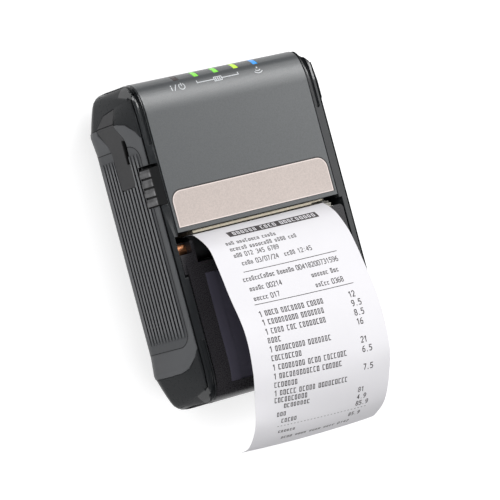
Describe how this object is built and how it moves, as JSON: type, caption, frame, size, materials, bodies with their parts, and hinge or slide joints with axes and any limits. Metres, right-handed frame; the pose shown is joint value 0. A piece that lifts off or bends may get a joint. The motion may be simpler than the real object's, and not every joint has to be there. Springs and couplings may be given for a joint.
{
  "type": "mobile receipt printer",
  "caption": "Pocket thermal receipt printer lying on its back, with ribbed side grips, a hinged media cover, indicator lights and a printed receipt coming out.",
  "frame": {"origin": "on the back face, under the middle of the body", "axes": "+Z out of the front face, +Y along the body towards the indicator lights, +X across the width"},
  "size_m": [0.0882, 0.1381, 0.0595],
  "materials": {
    "shell_black": "fine texture",
    "frame_black": "satin",
    "panel_grey": "fine texture",
    "plate_metal": "brushed",
    "light_off": "clear satin",
    "light_green": "glowing",
    "light_blue": "glowing",
    "grip_rubber": "soft touch",
    "rib_rubber": "satin",
    "door_rubber": "matt",
    "board_green": "solder resist",
    "can_metal": "tinned",
    "jack_black": "matt",
    "chassis_steel": "zinc plated",
    "head_ceramic": "glazed",
    "heatsink_alu": "cast",
    "spring_steel": "bright",
    "tear_steel": "bright edge",
    "motor_steel": "drawn",
    "bucket_black": "smooth",
    "sensor_black": "smooth",
    "contact_gold": "plated",
    "pin_steel": "ground",
    "screw_black": "blackened",
    "paper_white": "thermal paper",
    "cover_black": "smooth",
    "window_smoke": "tinted clear",
    "bush_brass": "turned",
    "platen_rubber": "ground",
    "gear_white": "moulded",
    "core_card": "card",
    "lever_grey": "satin",
    "button_black": "satin",
    "battery_black": "fine texture"
  },
  "bodies": {
    "case": {"rear_shell": "shell_black", "front_frame": "frame_black", "top_panel": "panel_grey", "front_plate": "plate_metal", "status_light_pipe": "light_off", "battery_light_pipes": "light_green", "wireless_light_pipe": "light_blue", "left_grip": "grip_rubber", "right_grip": "grip_rubber", "left_grip_insert": "rib_rubber", "right_grip_insert": "rib_rubber", "port_door_strap": "door_rubber", "main_board": "board_green", "wireless_module": "can_metal", "usb_socket": "can_metal", "dc_jack": "jack_black", "chassis": "chassis_steel", "print_head": "head_ceramic", "head_heatsink": "heatsink_alu", "head_springs": "spring_steel", "tear_bar": "tear_steel", "stepper_motor": "motor_steel", "paper_bucket": "bucket_black", "paper_sensor": "sensor_black", "battery_contacts": "contact_gold", "hinge_pins": "pin_steel", "case_screws": "screw_black", "paper_web": "paper_white"},
    "cover": {"media_cover": "cover_black", "cover_window": "window_smoke", "platen_bushes": "bush_brass"},
    "receipt_strip": {"receipt": "paper_white"},
    "platen": {"platen_shaft": "pin_steel", "platen_roller": "platen_rubber", "platen_gear": "gear_white"},
    "idler": {"idler_gear": "gear_white"},
    "pinion": {"motor_pinion": "contact_gold"},
    "roll": {"paper_roll": "paper_white", "roll_core": "core_card"},
    "lever": {"release_lever": "lever_grey", "latch_hook": "chassis_steel"},
    "door": {"port_door": "door_rubber"},
    "power_key": {"power_button": "button_black"},
    "feed_key": {"feed_button": "button_black"},
    "battery": {"battery_pack": "battery_black"},
    "battery_catch": {"battery_latch": "button_black"}
  },
  "joints": [
    {"name": "cover_hinge", "type": "hinge", "parent": "case", "child": "cover", "pos_m": [0, -0.0546, 0.0086], "axis": [1, 0, 0], "range_deg": [0, 90]},
    {"name": "receipt_flex", "type": "hinge", "parent": "cover", "child": "receipt_strip", "pos_m": [0, 0.00108, 0.0356], "axis": [1, 0, 0], "range_deg": [-60, 0]},
    {"name": "platen_spin", "type": "hinge", "parent": "cover", "child": "platen", "pos_m": [0, -0.0034, 0.0356], "axis": [1, 0, 0], "continuous": true},
    {"name": "idler_spin", "type": "hinge", "parent": "case", "child": "idler", "pos_m": [0, 0.00852, 0.02926], "axis": [1, 0, 0], "continuous": true},
    {"name": "pinion_spin", "type": "hinge", "parent": "case", "child": "pinion", "pos_m": [0, 0.01933, 0.02533], "axis": [1, 0, 0], "continuous": true},
    {"name": "roll_spin", "type": "hinge", "parent": "case", "child": "roll", "pos_m": [0, -0.03, 0.0195], "axis": [1, 0, 0], "continuous": true},
    {"name": "release_slide", "type": "slide", "parent": "case", "child": "lever", "axis": [0, 1, 0], "range_m": [0, 0.001], "stiffness_N_per_m": 600},
    {"name": "port_door_hinge", "type": "hinge", "parent": "case", "child": "door", "pos_m": [-0.04385, 0.046, 0.027], "axis": [0, 0, -1], "range_deg": [0, 110]},
    {"name": "power_press", "type": "slide", "parent": "case", "child": "power_key", "axis": [0, -1, 0], "range_m": [0, 0.0006], "stiffness_N_per_m": 500},
    {"name": "feed_press", "type": "slide", "parent": "case", "child": "feed_key", "axis": [0, -1, 0], "range_m": [0, 0.0006], "stiffness_N_per_m": 500},
    {"name": "battery_lift_off", "type": "slide", "parent": "case", "child": "battery", "axis": [0, 0, -1], "range_m": [0, 0.02]},
    {"name": "battery_catch_slide", "type": "slide", "parent": "case", "child": "battery_catch", "axis": [0, 1, 0], "range_m": [0, 0.0025], "stiffness_N_per_m": 300}
  ],
  "couplings": [
    {"joint": "receipt_flex", "follows": "cover_hinge", "ratio": -0.65},
    {"joint": "platen_spin", "follows": "roll_spin", "ratio": 3.4091},
    {"joint": "idler_spin", "follows": "roll_spin", "ratio": -2.0053},
    {"joint": "pinion_spin", "follows": "roll_spin", "ratio": 5.6818}
  ]
}
